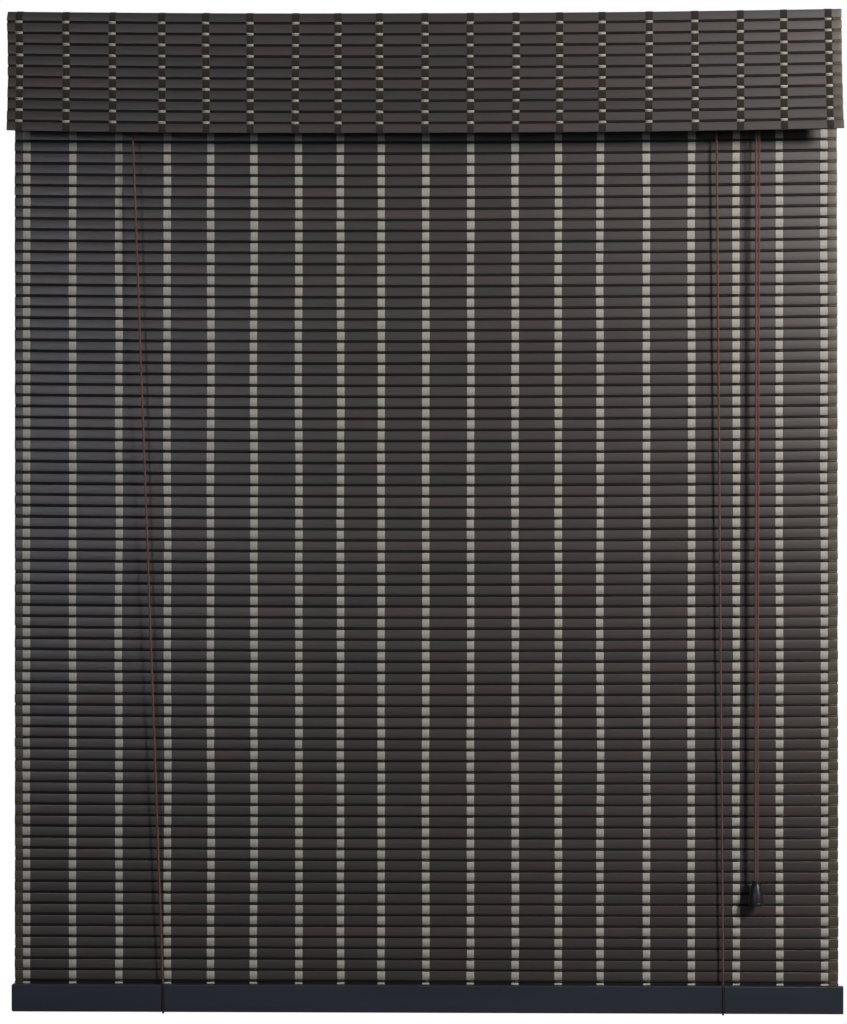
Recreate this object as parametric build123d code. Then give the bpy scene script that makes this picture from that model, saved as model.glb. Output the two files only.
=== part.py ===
from build123d import *
import os
import math

# Bamboo roll-up blind: flat dark slats and thin round rods woven together by
# nineteen yarn tapes, folded over a wooden headrail so that its front end hangs
# as a valance, with a flat painted bar at the hem, two lift cords, a cord lock
# and a bell tassel. Millimetres. Z is up, -Y is the room side, +X is to the
# right seen from the room. The origin is midway between the two wall screw
# holes of the headrail, on the headrail's back face.

os.makedirs("parts", exist_ok=True)

# ---------------------------------------------------------------- dimensions
FABRIC_HALF = 493.0          # half the length of a slat
PITCH = 13.248               # slat to slat, hanging fabric
SLAT_H, SLAT_T = 10.35, 1.6  # flat slat
SLAT_EDGE = 0.45             # rounding of a slat's long edges
ROD_D = 2.4                  # thin round rod between two slats
Y_BACK = 2.05                # middle plane of the hanging fabric
Y_FRONT = -37.05             # middle plane of the valance
Z_OVER = 18.5                # middle plane of the fabric over the headrail
SLAT_PHASE = 0.0             # centre height of the slat that the wall screws pass

HEAD_W, HEAD_D, HEAD_BOT, HEAD_TOP = 975.0, 35.0, -11.55, 16.45
WALL_HOLE_X, WALL_HOLE_R = 380.0, 2.5

N_VALANCE = 11               # slats in the valance
VALANCE_TOP = 18.7           # top edge of its top slat
VALANCE_PITCH = 13.1

N_LINKS = 35                 # pairs of slats that roll up
N_BACK_FIXED = 16            # slats from the top fold down to the first that rolls
TOP_SLAT = 0.0 + PITCH * 1   # centre height of the highest slat behind the headrail

# yarn tapes, centre of each along X
TAPES = [-478.7, -423.3, -367.7, -309.5, -257.5, -205.6, -151.7, -101.7, -53.0, 0.4,
         54.0, 107.4, 159.0, 208.9, 264.2, 317.8, 371.3, 423.0, 476.7]
TAPE_W, TAPE_T, TAPE_OFF = 8.4, 0.4, 1.45

# hem bar and batten
BAR_X0, BAR_X1 = -495.5, 497.5
BAR_TOP, BAR_BOT, BAR_T = -1136.05, -1168.95, 7.0
BATTEN_TOP, BATTEN_BOT, BATTEN_T = -1141.0, -1165.0, 4.0
CLAMP = 1.75                 # half the space between the bar and the batten

# roll: radius of the innermost turn and growth per turn
ROLL_R0, ROLL_STEP, HEM_FOLD_DEG = 22.0, 6.9, 98.0

# cords
CORD_R = 1.1
XL_TOP, XL_HEM = -351.6, -313.8
XR_TOP, XR_HEM = 346.0, 354.9
Y_CORD_L, Y_CORD_R = -17.0, -9.0
Z_RUN = -16.5                # the cords' run under the headrail
WHEEL_R = 6.0                # cord's centre line round a wheel
X_LOCK = 395.0               # where the cords turn down at the lock
Z_LOCK_OUT = -42.0

TASSEL_X, TASSEL_Y, TASSEL_TOP, TASSEL_H, TASSEL_R = 393.1, -14.0, -1008.5, 29.4, 9.8
CORD_TRAVEL = 1760.0         # pull needed to raise the blind fully


def prism_x(pts, x0, x1):
    """Solid with the given outline in the YZ plane, from x0 to x1."""
    face = Plane(origin=(x0, 0, 0), x_dir=(0, 1, 0), z_dir=(1, 0, 0)) * make_face(Polyline(*pts, close=True))
    return extrude(face, amount=x1 - x0)


def slat(yc, zc, flat=False, x0=-FABRIC_HALF, x1=FABRIC_HALF):
    w, h = (SLAT_H, SLAT_T) if flat else (SLAT_T, SLAT_H)
    pl = Plane(origin=(x0, yc, zc), x_dir=(0, 1, 0), z_dir=(1, 0, 0))
    return extrude(pl * RectangleRounded(w, h, SLAT_EDGE), amount=x1 - x0)


def rod(yc, zc, x0=-FABRIC_HALF + 2, x1=FABRIC_HALF - 2):
    pl = Plane(origin=(x0, yc, zc), x_dir=(0, 1, 0), z_dir=(1, 0, 0))
    return extrude(pl * Circle(ROD_D / 2), amount=x1 - x0)


def cyl(p, d, r, length):
    """Cylinder from p along d."""
    return extrude(Plane(origin=p, z_dir=d) * Circle(r), amount=length)


def block(x0, x1, y0, y1, z0, z1):
    return Pos((x0 + x1) / 2, (y0 + y1) / 2, (z0 + z1) / 2) * Box(x1 - x0, y1 - y0, z1 - z0)


def turned(profile, origin, axis, x_dir):
    """Solid of revolution: profile points are (radius, along the axis)."""
    pl = Plane(origin=origin, x_dir=x_dir, z_dir=Vector(*x_dir).cross(Vector(*axis)))
    face = make_face(Polyline(*profile, close=True))
    body = revolve(face, axis=Axis.Y, revolution_arc=360)
    return pl * body


def tube(pts, radii, r):
    path = FilletPolyline(*pts, radius=radii)
    edge = path.edges()[0] if len(path.edges()) == 1 else path
    start = path @ 0
    sect = Plane(origin=start, z_dir=path % 0) * Circle(r)
    solid = sweep(sect, path=path)
    length = path.length
    print(f"  tube: length {length:.1f}, volume {solid.volume:.1f}, section x length {math.pi * r * r * length:.1f}")
    return solid, length


def turn_radius(a, b, c):
    """Largest fitting arc at b: 0.45 of the shorter run over tan(half turn)."""
    u, v = Vector(*b) - Vector(*a), Vector(*c) - Vector(*b)
    half = math.radians(u.get_angle(v)) / 2
    return 0.45 * min(u.length, v.length) / math.tan(half)


nodes = {}

# ---------------------------------------------------------------- headrail
headrail = block(-HEAD_W / 2, HEAD_W / 2, -HEAD_D, 0.0, HEAD_BOT, HEAD_TOP)
headrail = chamfer(headrail.edges().filter_by(Axis.X), 1.0)
for sx in (-1, 1):
    headrail -= cyl((sx * WALL_HOLE_X, -HEAD_D - 1, 0), (0, 1, 0), WALL_HOLE_R, HEAD_D + 2)

# ---------------------------------------------------------------- fixed fabric
valance = []
for k in range(N_VALANCE):
    zc = VALANCE_TOP - SLAT_H / 2 - VALANCE_PITCH * k
    valance.append(slat(Y_FRONT, zc))
    if k:
        valance.append(rod(Y_FRONT, zc + VALANCE_PITCH / 2))
nodes["valance_slats"] = valance

upper = [slat(-24.35, Z_OVER, flat=True), slat(-10.85, Z_OVER, flat=True),
         rod(-31.1, Z_OVER), rod(-17.6, Z_OVER), rod(-4.1, Z_OVER)]
for k in range(N_BACK_FIXED + 1):
    zc = TOP_SLAT - PITCH * k
    s = slat(Y_BACK, zc)
    if abs(zc - SLAT_PHASE) < 1:
        for sx in (-1, 1):
            s -= cyl((sx * WALL_HOLE_X, Y_BACK - 3, 0), (0, 1, 0), WALL_HOLE_R, 6)
    upper.append(s)
    if k:
        upper.append(rod(Y_BACK, zc + PITCH / 2))
nodes["upper_slats"] = upper
Z_HINGE = TOP_SLAT - PITCH * N_BACK_FIXED - PITCH / 2

# ---------------------------------------------------------------- rolling fabric
hinges = []
for i in range(N_LINKS):
    zh = Z_HINGE - 2 * PITCH * i
    hinges.append(zh)
    nodes[f"slats_{i + 1:02d}"] = [rod(Y_BACK, zh), slat(Y_BACK, zh - PITCH / 2),
                                   rod(Y_BACK, zh - PITCH), slat(Y_BACK, zh - 1.5 * PITCH)]
Z_HEM_HINGE = Z_HINGE - 2 * PITCH * N_LINKS
hinges.append(Z_HEM_HINGE)
nodes["hem_slats"] = [rod(Y_BACK, Z_HEM_HINGE), slat(Y_BACK, Z_HEM_HINGE - PITCH / 2),
                      rod(Y_BACK, Z_HEM_HINGE - PITCH), slat(Y_BACK, Z_HEM_HINGE - 1.5 * PITCH)]

# fold at each hinge with the blind fully rolled: the pairs of slats lie on a spiral
rolled = 2 * PITCH * N_LINKS
folds = []
for i in range(N_LINKS):
    s = rolled - 2 * PITCH * i
    folds.append(math.degrees(2 * PITCH / math.sqrt(ROLL_R0 ** 2 + s * ROLL_STEP / math.pi)))
folds.append(HEM_FOLD_DEG)
print("first hinge z", round(Z_HINGE, 3), "hem hinge z", round(Z_HEM_HINGE, 3))
print("folds", [round(a, 3) for a in folds], "turns", round(sum(folds) / 360, 3))

# ---------------------------------------------------------------- yarn tapes
def tape_outline(off, zt):
    yf, yb, t = Y_FRONT + off, Y_BACK - off, TAPE_T / 2
    # outline of a strip that goes up the valance, over the headrail and down the back
    a = [(yf - t, -120.0), (yf - t, zt + t), (yb + t, zt + t), (yb + t, -1160.0)]
    b = [(yb - t, -1160.0), (yb - t, zt - t), (yf + t, zt - t), (yf + t, -120.0)]
    return a + b


light = tape_outline(TAPE_OFF, Z_OVER - TAPE_OFF)
dark = tape_outline(-TAPE_OFF, Z_OVER + TAPE_OFF)
nodes["warp_light"] = [prism_x(light, x - TAPE_W / 2, x + TAPE_W / 2) for x in TAPES]
nodes["warp_dark"] = [prism_x(dark, x - TAPE_W / 2, x + TAPE_W / 2) for x in TAPES]

# ---------------------------------------------------------------- staples
staples = []
for i in range(0, 18, 2):
    xm = (TAPES[i] + TAPES[i + 1]) / 2
    st = block(xm - 5.3, xm + 5.3, Y_BACK + 0.85, Y_BACK + 1.45, -0.5, 0.5)
    for sx in (-1, 1):
        st += block(xm + sx * 5.0 - 0.3, xm + sx * 5.0 + 0.3, -9.0, Y_BACK + 1.15, -0.5, 0.5)
    staples.append(st)
# the two that hold the lift cords' fixed ends behind the fabric
for xm in (XL_TOP, XR_TOP):
    st = block(xm - 2.3, xm + 2.3, Y_BACK + 3.95, Y_BACK + 4.55, -1.9, -0.9)
    for sx in (-1, 1):
        st += block(xm + sx * 2.0 - 0.3, xm + sx * 2.0 + 0.3, -6.0, Y_BACK + 4.25, -1.9, -0.9)
    staples.append(st)
nodes["staples"] = staples

# ---------------------------------------------------------------- pulleys
def wheel(yc, xc, zc, half, grooves):
    """Wheel on an axis along Y, with a groove for each cord."""
    prof = [(1.65, -half), (7.0, -half)]
    for g in grooves:
        prof += [(7.0, g - 2.3), (4.6, g - 1.45), (4.6, g + 1.45), (7.0, g + 2.3)]
    prof += [(7.0, half), (1.65, half)]
    return turned(prof, (xc, yc, zc), (0, 1, 0), (1, 0, 0))


Z_WHEEL = Z_RUN - WHEEL_R
housings, pins, screws = [], [], []


def wood_screw(x, y, z_seat):
    """Pan-head screw driven up into the headrail, its head under z_seat."""
    head = Pos(x, y, z_seat - 0.75) * Cylinder(2.5, 1.5)
    head = fillet(head.faces().sort_by(Axis.Z)[0].edges(), 0.6)
    shank = cyl((x, y, z_seat - 0.2), (0, 0, 1), 1.3, 11.0)
    tip = Pos(x, y, z_seat + 10.8 + 1.0) * Cone(1.3, 0.2, 2.0)
    cross = block(x - 1.4, x + 1.4, y - 0.3, y + 0.3, z_seat - 1.6, z_seat - 0.8)
    cross += block(x - 0.3, x + 0.3, y - 1.4, y + 1.4, z_seat - 1.6, z_seat - 0.8)
    return (head + shank + tip) - cross


def pulley(xc, yc):
    top = block(xc - 15.0, xc + 15.0, yc - 4.5, yc + 4.5, HEAD_BOT - 1.2, HEAD_BOT)
    top = fillet(top.edges().filter_by(Axis.Z), 2.5)
    h = top
    for sy in (-1, 1):
        cheek = block(xc - 8.0, xc + 8.0, yc + sy * 3.9 - 0.6, yc + sy * 3.9 + 0.6, -30.5, HEAD_BOT - 0.6)
        cheek = fillet(cheek.edges().filter_by(Axis.Y).sort_by(Axis.Z)[:2], 4.0)
        h += cheek
    h -= cyl((xc, yc - 6, Z_WHEEL), (0, 1, 0), 1.62, 12)
    for sx in (-1, 1):
        h -= cyl((xc + sx * 11.6, yc, HEAD_BOT - 3), (0, 0, 1), 1.5, 6)
        screws.append(wood_screw(xc + sx * 11.6, yc, HEAD_BOT - 1.2))
    housings.append(h)
    pins.append(cyl((xc, yc - 4.9, Z_WHEEL), (0, 1, 0), 1.6, 9.8))
    return wheel(yc, xc, Z_WHEEL, 2.8, [0.0])


XC_L, XC_R = XL_TOP + WHEEL_R, XR_TOP + WHEEL_R
nodes["pulley_wheel_left"] = [pulley(XC_L, Y_CORD_L)]
nodes["pulley_wheel_right"] = [pulley(XC_R, Y_CORD_R)]
nodes["pulley_housings"] = housings

# ---------------------------------------------------------------- cord lock
XW, YW = X_LOCK - WHEEL_R, (Y_CORD_L + Y_CORD_R) / 2
XP, ZP = 405.0, -25.0
lock = block(370.0, 424.0, -21.5, -4.5, HEAD_BOT - 1.5, HEAD_BOT)
lock = fillet(lock.edges().filter_by(Axis.Z), 3.0)
for y0 in (-21.5, -6.0):
    side = block(380.5, 413.5, y0, y0 + 1.5, -40.0, HEAD_BOT - 0.8)
    side = fillet(side.edges().filter_by(Axis.Y).sort_by(Axis.Z)[:2], 6.0)
    lock += side
# bridge that joins the two sides below the cam, with the cords passing to its left
lock += block(402.0, 408.0, -21.0, -5.0, -39.0, -36.0)
for xx, zz in ((XW, Z_WHEEL), (XP, ZP)):
    lock -= cyl((xx, -23, zz), (0, 1, 0), 1.62, 20)
for sx in (-1, 1):
    lock -= cyl((397.0 + sx * 22.0, YW, HEAD_BOT - 3), (0, 0, 1), 1.5, 6)
    screws.append(wood_screw(397.0 + sx * 22.0, YW, HEAD_BOT - 1.5))
pins.append(cyl((XW, -22.0, Z_WHEEL), (0, 1, 0), 1.6, 18.0))
pins.append(cyl((XP, -22.0, ZP), (0, 1, 0), 1.6, 18.0))
nodes["cord_lock_body"] = [lock]
nodes["cord_lock_wheel"] = [wheel(YW, XW, Z_WHEEL, 6.6, [Y_CORD_L - YW, Y_CORD_R - YW])]

# toothed cam that pinches the cords against the wheel
cam_pts = []
for i in range(0, 13):
    a = math.radians(180.0 - 50.0 + i * 5.0)
    r = 8.75 if i % 2 else 8.15
    cam_pts.append((XP + r * math.cos(a - math.radians(0)), ZP + r * math.sin(a)))
hub = [(XP + 4.2 * math.cos(math.radians(a)), ZP + 4.2 * math.sin(math.radians(a))) for a in range(-120, 81, 20)]
cam_outline = [(x, z) for x, z in cam_pts] + hub
cam_face = Plane(origin=(0, -19.2, 0), x_dir=(1, 0, 0), z_dir=(0, -1, 0)) * make_face(Polyline(*cam_outline, close=True))
cam = extrude(cam_face, amount=-12.4)
cam -= cyl((XP, -22, ZP), (0, 1, 0), 1.65, 20)
nodes["cord_lock_cam"] = [cam]
nodes["axle_pins"] = pins
nodes["hardware_screws"] = screws
for s in screws:
    c = s.bounding_box().center()
    headrail -= cyl((c.X, c.Y, HEAD_BOT - 1), (0, 0, 1), 1.25, 11.0)
nodes["headrail"] = [headrail]

# ---------------------------------------------------------------- hem
bar = block(BAR_X0, BAR_X1, Y_BACK - CLAMP - BAR_T, Y_BACK - CLAMP, BAR_BOT, BAR_TOP)
bar = fillet(bar.edges().filter_by(Axis.X), 1.2)
corner = bar.edges().filter_by(Axis.Y).sort_by(Axis.X)[:2]
bar = fillet(corner, 2.6)
Y_BAR = Y_BACK - CLAMP - BAR_T
for xg in (XL_HEM, XR_HEM):
    bar -= block(xg - 1.6, xg + 1.6, Y_BAR - 1, Y_BAR + 2.8, BAR_BOT - 1, BAR_TOP + 1)
batten = block(BAR_X0 + 6, BAR_X1 - 6, Y_BACK + CLAMP, Y_BACK + CLAMP + BATTEN_T, BATTEN_BOT, BATTEN_TOP)
batten = fillet(batten.edges().filter_by(Axis.X), 0.9)
nodes["bottom_bar"] = [bar]
nodes["bottom_batten"] = [batten]
rail_screws = []
for i in (0, 5, 9, 14, 17):
    xm = (TAPES[i] + TAPES[i + 1]) / 2
    yb = Y_BACK + CLAMP + BATTEN_T
    head = Pos(xm, yb + 0.65, -1152.6) * (Rot(90, 0, 0) * Cylinder(2.6, 1.3))
    head = fillet(head.faces().sort_by(Axis.Y)[-1].edges(), 0.5)
    sc = head + cyl((xm, yb + 0.2, -1152.6), (0, -1, 0), 1.3, 9.4)
    sc -= block(xm - 1.5, xm + 1.5, yb + 0.7, yb + 2, -1152.9, -1152.3)
    sc -= block(xm - 0.3, xm + 0.3, yb + 0.7, yb + 2, -1154.1, -1151.1)
    rail_screws.append(sc)
nodes["rail_screws"] = rail_screws

# ---------------------------------------------------------------- lift cords
Y_UNDER_B = Y_BACK + CLAMP + BATTEN_T + 1.45
Y_GROOVE = Y_BAR + 1.45
Z_UNDER = BAR_BOT - 1.45


def lift_cord(name, xt, xh, yp, label):
    pts = [(xt, Y_BACK + 1.25 + 1.35, 4.0), (xh, Y_UNDER_B, BATTEN_TOP + 1.0), (xh, Y_UNDER_B, Z_UNDER),
           (xh, Y_GROOVE, Z_UNDER), (xh, Y_GROOVE, BAR_TOP + 0.5), (xt, yp, Z_RUN), (X_LOCK, yp, Z_RUN), (X_LOCK, yp, Z_LOCK_OUT)]
    radii = [60.0, 2.4, 2.4, 60.0, WHEEL_R, WHEEL_R]
    print(label, "radii", radii)
    solid, length = tube(pts, radii, CORD_R)
    nodes[name] = [solid]
    return length


LEN_L = lift_cord("lift_cord_left", XL_TOP, XL_HEM, Y_CORD_L, "lift cord left")
LEN_R = lift_cord("lift_cord_right", XR_TOP, XR_HEM, Y_CORD_R, "lift cord right")

# ---------------------------------------------------------------- pull cords
Z_KNOT = TASSEL_TOP - 14.5
KNOT_R = 4.2
pulls = []
for sx, yp in ((-1, Y_CORD_L), (1, Y_CORD_R)):
    pts = [(X_LOCK, yp, Z_LOCK_OUT - 0.02),
           (X_LOCK, yp + 0.1 * (TASSEL_Y - yp), Z_LOCK_OUT - 14.0),
           (X_LOCK + sx * 2.3, yp + 0.55 * (TASSEL_Y - yp), -95.0),
           (X_LOCK + sx * 1.6 - 0.3, yp + 0.9 * (TASSEL_Y - yp), -205.0),
           (TASSEL_X + sx * 1.25, TASSEL_Y, TASSEL_TOP + 12.0),
           (TASSEL_X + sx * 1.25, TASSEL_Y, Z_KNOT + KNOT_R + 0.02)]
    radii = [turn_radius(*pts[i - 1:i + 2]) for i in range(1, len(pts) - 1)]
    print("pull cord radii", [round(r, 1) for r in radii])
    solid, length = tube(pts, radii, CORD_R)
    print("pull cord points", [tuple(round(v, 2) for v in p) for p in pts])
    pulls.append(solid)
nodes["pull_cords"] = pulls

# ---------------------------------------------------------------- tassel
T = TASSEL_TOP
outer = [(2.7, 0.0), (3.6, 0.0), (4.1, -0.5), (4.1, -1.5), (3.4, -2.3), (3.5, -4.0), (4.4, -7.0), (6.0, -11.5),
         (7.7, -16.5), (9.0, -21.5), (9.7, -25.5), (9.8, -27.6), (9.3, -28.9), (8.6, -29.4)]
inner = [(8.1, -29.2), (8.0, -25.5), (7.4, -21.5), (6.4, -17.5), (5.2, -13.2), (4.6, -9.5), (2.7, -8.0)]
prof = [(r, z) for r, z in outer] + inner
tface = Plane(origin=(TASSEL_X, TASSEL_Y, T), x_dir=(1, 0, 0), z_dir=(0, -1, 0)) * make_face(Polyline(*prof, close=True))
tassel = revolve(tface, axis=Axis((TASSEL_X, TASSEL_Y, T), (0, 0, 1)), revolution_arc=360)
nodes["tassel"] = [tassel]
knot = Pos(TASSEL_X, TASSEL_Y, Z_KNOT) * Sphere(KNOT_R)
nodes["cord_knot"] = [knot]

# ---------------------------------------------------------------- write
for name, solids in nodes.items():
    flat = []
    for s in solids:
        flat += list(s.solids())
    assert len(flat) == len(solids), (name, len(flat), len(solids))
    shape = flat[0] if len(flat) == 1 else Compound(children=flat)
    export_step(shape, f"parts/{name}.step")
print(len(nodes), "nodes", "lift cord lengths", round(LEN_L, 1), round(LEN_R, 1))
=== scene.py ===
import bpy
import math
import numpy as np
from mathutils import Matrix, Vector


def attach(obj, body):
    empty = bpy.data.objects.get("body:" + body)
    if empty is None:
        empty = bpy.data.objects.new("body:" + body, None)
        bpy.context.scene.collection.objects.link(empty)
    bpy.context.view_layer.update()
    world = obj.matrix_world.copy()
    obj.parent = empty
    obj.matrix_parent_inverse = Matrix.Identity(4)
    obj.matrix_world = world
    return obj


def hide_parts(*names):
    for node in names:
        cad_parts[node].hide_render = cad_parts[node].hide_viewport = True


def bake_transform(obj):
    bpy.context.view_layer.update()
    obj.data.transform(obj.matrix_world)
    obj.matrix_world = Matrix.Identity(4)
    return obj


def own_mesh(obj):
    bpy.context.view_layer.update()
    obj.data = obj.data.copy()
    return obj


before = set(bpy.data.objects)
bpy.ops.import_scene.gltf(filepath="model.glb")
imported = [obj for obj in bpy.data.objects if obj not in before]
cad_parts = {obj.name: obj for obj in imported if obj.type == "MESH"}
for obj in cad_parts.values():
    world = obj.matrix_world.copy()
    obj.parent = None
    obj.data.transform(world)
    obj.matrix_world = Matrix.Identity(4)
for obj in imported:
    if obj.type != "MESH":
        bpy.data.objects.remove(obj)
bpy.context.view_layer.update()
RNG = np.random.RandomState(7)
MM = 0.001

# Bamboo roll-up blind. Lengths below are in millimetres and are turned into
# metres where a mesh is made. Z is up, -Y is the room side.
FABRIC_HALF, PITCH = 493.0, 13.248
SLAT_H, SLAT_T = 10.35, 1.6
Y_BACK, Y_FRONT, Z_OVER = 2.05, -37.05, 18.5
VALANCE_TOP, VALANCE_PITCH, N_VALANCE = 18.7, 13.1, 11
N_LINKS, N_FIXED = 35, 16
Z_HINGE = PITCH - PITCH * N_FIXED - PITCH / 2
TAPES = [-478.7, -423.3, -367.7, -309.5, -257.5, -205.6, -151.7, -101.7, -53.0, 0.4,
         54.0, 107.4, 159.0, 208.9, 264.2, 317.8, 371.3, 423.0, 476.7]
TAPE_W = 8.4
XL_TOP, XL_HEM, XR_TOP, XR_HEM = -351.6, -313.8, 346.0, 354.9
Y_CORD_L, Y_CORD_R, Z_RUN, WHEEL_R, X_LOCK = -17.0, -9.0, -16.5, 6.0, 395.0
CORD_R = 1.1
BAR_TOP, BAR_BOT = -1136.05, -1168.95
Y_BAR = Y_BACK - 1.75 - 7.0
Y_GROOVE = Y_BAR + 1.45
Y_UNDER_B = Y_BACK + 1.75 + 4.0 + 1.45
TASSEL_X, TASSEL_Y, TASSEL_TOP = 393.1, -14.0, -1008.5

scene = bpy.context.scene
scene.view_settings.view_transform = "Standard"

# ------------------------------------------------------------------ camera
cam_data = bpy.data.cameras.new("camera")
cam = bpy.data.objects.new("camera", cam_data)
scene.collection.objects.link(cam)
cam.location = (0.0666, (Y_BACK - 0.8) * MM - 2.35, -0.5712)
cam.rotation_euler = (math.radians(90), 0, math.radians(0.78))
cam_data.sensor_width = 36
cam_data.lens = 18 / (0.5 * 1.2252 / 2.35)
cam_data.shift_x = -0.0301
cam_data.clip_start, cam_data.clip_end = 0.05, 50
scene.camera = cam


# ------------------------------------------------------------------ mesh helpers
def make_mesh(name, verts, faces, mats=(), slots=None, smooth=True, attrs=None):
    """verts in millimetres; attrs is {name: values} for each vertex."""
    me = bpy.data.meshes.new(name)
    me.from_pydata((np.asarray(verts, float) * MM).tolist(), [], [list(f) for f in faces])
    for m in mats:
        me.materials.append(m)
    if slots is not None:
        me.polygons.foreach_set("material_index", np.asarray(slots, np.int32))
    me.polygons.foreach_set("use_smooth", np.full(len(me.polygons), smooth))
    for key, val in (attrs or {}).items():
        val = np.asarray(val, np.float32)
        if val.ndim == 2:
            me.attributes.new(key, "FLOAT_VECTOR", "POINT").data.foreach_set("vector", val.ravel())
        else:
            me.attributes.new(key, "FLOAT", "POINT").data.foreach_set("value", val)
    me.validate(clean_customdata=False)
    me.update()
    if attrs and "side" in attrs:
        side = np.asarray(attrs["side"])
        ends = np.zeros(len(me.edges) * 2, np.int32)
        me.edges.foreach_get("vertices", ends)
        a, b = side[ends[0::2]], side[ends[1::2]]
        me.edges.foreach_set("use_edge_sharp", (a > 0) & (a == b))
    ob = bpy.data.objects.new(name, me)
    scene.collection.objects.link(ob)
    return ob


def tube_mesh(path, radius, sides=12, caps=True):
    """(verts, faces, along, around) of a tube in the units of path."""
    P = np.asarray(path, float)
    T = np.gradient(P, axis=0)
    T /= np.linalg.norm(T, axis=1)[:, None]
    up = np.array([0.0, 1.0, 0.0]) if abs(T[0][1]) < 0.9 else np.array([1.0, 0.0, 0.0])
    N = np.zeros_like(P)
    n = np.cross(T[0], up)
    for i, t in enumerate(T):
        n = n - t * (n @ t)
        n /= np.linalg.norm(n)
        N[i] = n
    B = np.cross(T, N)
    a = np.arange(sides) * 2 * math.pi / sides
    ring = P[:, None, :] + radius * (np.cos(a)[None, :, None] * N[:, None, :] + np.sin(a)[None, :, None] * B[:, None, :])
    verts = ring.reshape(-1, 3)
    m = len(P)
    faces = []
    for i in range(m - 1):
        for j in range(sides):
            k = (j + 1) % sides
            faces.append((i * sides + j, i * sides + k, (i + 1) * sides + k, (i + 1) * sides + j))
    if caps:
        faces.append(tuple(range(sides))[::-1])
        faces.append(tuple((m - 1) * sides + j for j in range(sides)))
    run = np.concatenate([[0], np.cumsum(np.linalg.norm(np.diff(P, axis=0), axis=1))])
    along = np.repeat(run, sides)
    around = np.tile(a / (2 * math.pi), m)
    return verts, faces, along, around


def cord_attrs(along, around):
    """Coordinates for the braid: metres along, and sine and cosine round the cord."""
    return {"braid": np.stack([along * MM, np.cos(2 * math.pi * around), np.sin(2 * math.pi * around)], 1)}


# ------------------------------------------------------------------ materials
class Mat:
    def __init__(self, name):
        self.m = bpy.data.materials.new(name)
        self.m.use_nodes = True
        self.t = self.m.node_tree
        self.b = self.t.nodes["Principled BSDF"]

    def n(self, kind, **kw):
        nd = self.t.nodes.new(kind)
        for k, v in kw.items():
            setattr(nd, k, v)
        return nd

    def link(self, a, b):
        self.t.links.new(a, b)

    def set(self, **kw):
        for k, v in kw.items():
            self.b.inputs[k.replace("_", " ")].default_value = v

    def attr(self, name):
        return self.n("ShaderNodeAttribute", attribute_name=name)

    def scaled(self, vec, scale):
        nd = self.n("ShaderNodeMapping")
        nd.inputs["Scale"].default_value = scale
        self.link(vec, nd.inputs["Vector"])
        return nd.outputs["Vector"]

    def noise(self, vec, scale=(1, 1, 1), detail=2.0, rough=0.5, size=1.0):
        nd = self.n("ShaderNodeTexNoise")
        nd.inputs["Scale"].default_value = size
        nd.inputs["Detail"].default_value = detail
        nd.inputs["Roughness"].default_value = rough
        self.link(self.scaled(vec, scale), nd.inputs["Vector"])
        return nd.outputs["Fac"]

    def ramp(self, fac, stops):
        nd = self.n("ShaderNodeValToRGB")
        el = nd.color_ramp.elements
        while len(el) < len(stops):
            el.new(0.5)
        for e, (p, c) in zip(el, stops):
            e.position = p
            e.color = (*c, 1) if len(c) == 3 else c
        self.link(fac, nd.inputs["Fac"])
        return nd.outputs["Color"]

    def math(self, op, a, b=None, c=None):
        nd = self.n("ShaderNodeMath", operation=op)
        for i, v in enumerate((a, b, c)):
            if v is None:
                continue
            if isinstance(v, (int, float)):
                nd.inputs[i].default_value = v
            else:
                self.link(v, nd.inputs[i])
        return nd.outputs[0]

    def remap(self, fac, a, b, c, d):
        nd = self.n("ShaderNodeMapRange")
        self.link(fac, nd.inputs["Value"])
        for k, v in zip(("From Min", "From Max", "To Min", "To Max"), (a, b, c, d)):
            nd.inputs[k].default_value = v
        return nd.outputs["Result"]

    def mix(self, fac, a, b, blend="MIX"):
        nd = self.n("ShaderNodeMix", data_type="RGBA", blend_type=blend)
        for sock, v in ((nd.inputs["Factor"], fac), (nd.inputs["A"], a), (nd.inputs["B"], b)):
            if sock.type == "VALUE" and sock.name != "Factor":
                continue
            if isinstance(v, (int, float)):
                sock.default_value = v
            elif isinstance(v, tuple):
                sock.default_value = (*v, 1)
            else:
                self.link(v, sock)
        return nd.outputs["Result"]

    def bump(self, height, distance, strength=1.0):
        nd = self.n("ShaderNodeBump")
        nd.inputs["Distance"].default_value = distance
        nd.inputs["Strength"].default_value = strength
        self.link(height, nd.inputs["Height"])
        self.link(nd.outputs["Normal"], self.b.inputs["Normal"])

    def sep(self, vec):
        nd = self.n("ShaderNodeSeparateXYZ")
        self.link(vec, nd.inputs["Vector"])
        return nd.outputs


def mix_rgba(mt, fac, a, b, blend="MIX"):
    nd = mt.n("ShaderNodeMix", data_type="RGBA", blend_type=blend)
    fi, ai, bi = nd.inputs[0], nd.inputs[6], nd.inputs[7]
    for sock, v in ((fi, fac), (ai, a), (bi, b)):
        if isinstance(v, (int, float)):
            sock.default_value = v
        elif isinstance(v, tuple):
            sock.default_value = (*v, 1)
        else:
            mt.link(v, sock)
    return nd.outputs[2]


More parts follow.
